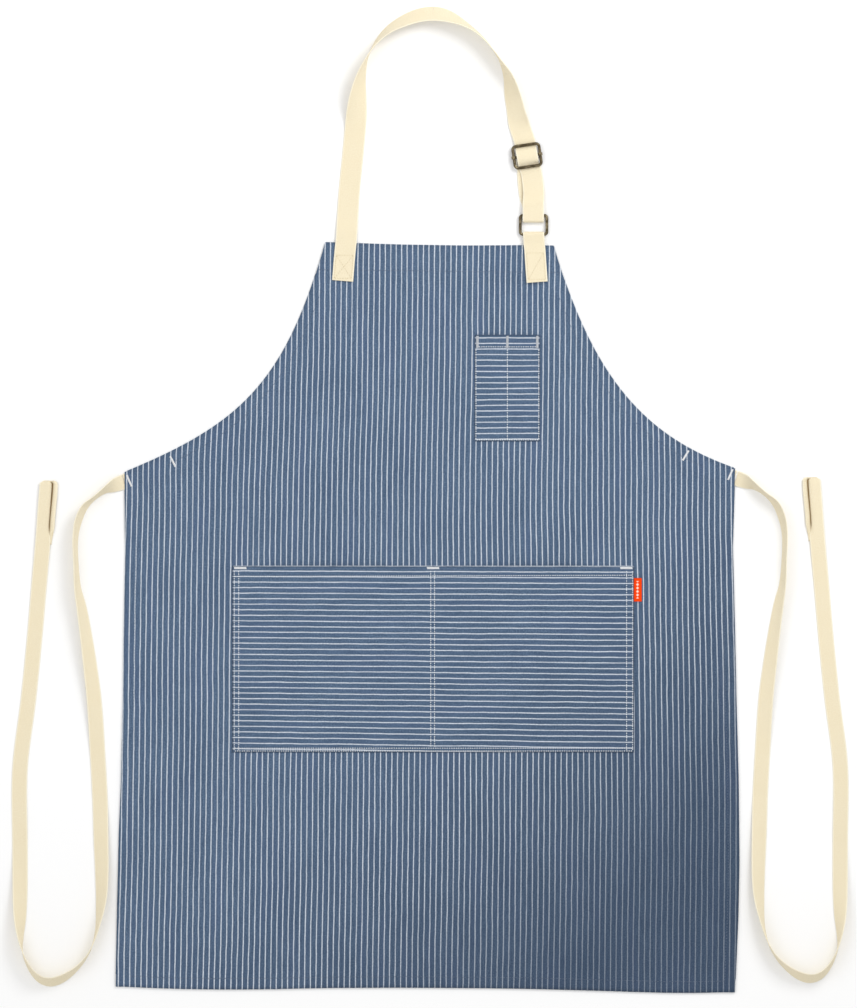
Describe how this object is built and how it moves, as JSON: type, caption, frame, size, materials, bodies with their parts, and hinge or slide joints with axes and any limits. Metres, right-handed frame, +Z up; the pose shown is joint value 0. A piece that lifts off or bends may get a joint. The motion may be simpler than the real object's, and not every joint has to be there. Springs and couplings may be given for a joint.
{
  "type": "butcher apron",
  "caption": "Bib apron in striped cloth with a two-part front pocket, a pencil pocket, an adjustable neck strap with ring and slider, and two waist ties, lying flat.",
  "frame": {"origin": "middle of the footprint of the apron and its neck strap, without the two ties, on the surface that it lies on", "axes": "+Z up out of the front face, +Y towards the neck strap, +X to the viewer's right"},
  "size_m": [0.9608, 1.1354, 0.0244],
  "materials": {
    "striped_cloth": "slate blue cotton with thin off-white stripes along its length",
    "pocket_cloth": "the same cotton with its stripes across",
    "webbing": "cream cotton webbing",
    "antique_brass": "antique brass wire, darkened, worn bright on top",
    "label_cloth": "orange-red woven label, plain",
    "seam_thread": "pale grey sewing thread",
    "cream_thread": "cream sewing thread",
    "bartack_thread": "dense white thread"
  },
  "bodies": {
    "apron": {"body_panel": "striped_cloth", "top_facing": "striped_cloth", "bottom_hem": "striped_cloth", "left_side_hem": "striped_cloth", "right_side_hem": "striped_cloth", "left_armhole_facing": "striped_cloth", "right_armhole_facing": "striped_cloth", "main_pocket": "pocket_cloth", "main_pocket_hem": "pocket_cloth", "chest_pocket": "pocket_cloth", "chest_pocket_hem": "pocket_cloth", "neck_strap_sewn_end": "webbing", "strap_tab": "webbing", "left_tie": "webbing", "right_tie": "webbing", "left_tie_end": "webbing", "right_tie_end": "webbing", "left_tie_anchor": "webbing", "right_tie_anchor": "webbing", "top_hem_stitching": "seam_thread", "hem_stitching": "seam_thread", "armhole_stitching": "seam_thread", "main_pocket_stitching": "seam_thread", "chest_pocket_stitching": "seam_thread", "strap_stitching": "cream_thread", "tab_stitching": "cream_thread", "main_pocket_bartacks": "bartack_thread", "chest_pocket_bartacks": "bartack_thread", "tie_bartacks": "bartack_thread"},
    "neck_loop": {"neck_strap": "webbing", "ring": "antique_brass", "strap_fold": "webbing", "adjusting_strap": "webbing", "strap_return": "webbing"},
    "slider": {"slider_frame": "antique_brass"},
    "slider_bar": {"slider_bar": "antique_brass", "strap_return_loop": "webbing"},
    "label": {"pocket_label": "label_cloth"}
  },
  "joints": [
    {"name": "neck_loop_fold", "type": "hinge", "parent": "apron", "child": "neck_loop", "pos_m": [0.122, 0.3055, 0.0034], "axis": [1, 0, 0], "range_deg": [0, 165]},
    {"name": "slider_slide", "type": "slide", "parent": "neck_loop", "child": "slider", "axis": [-0.1478, 0.989, 0], "range_m": [-0.03, 0.016], "deforming": ["adjusting_strap", "strap_return"]},
    {"name": "slider_bar_float", "type": "slide", "parent": "slider", "child": "slider_bar", "axis": [-0.1478, 0.989, 0], "range_m": [-0.003, 0.003]},
    {"name": "label_flip", "type": "hinge", "parent": "apron", "child": "label", "pos_m": [0.2376, -0.1032, 0.0031], "axis": [0, -1, 0], "range_deg": [0, 150]}
  ]
}
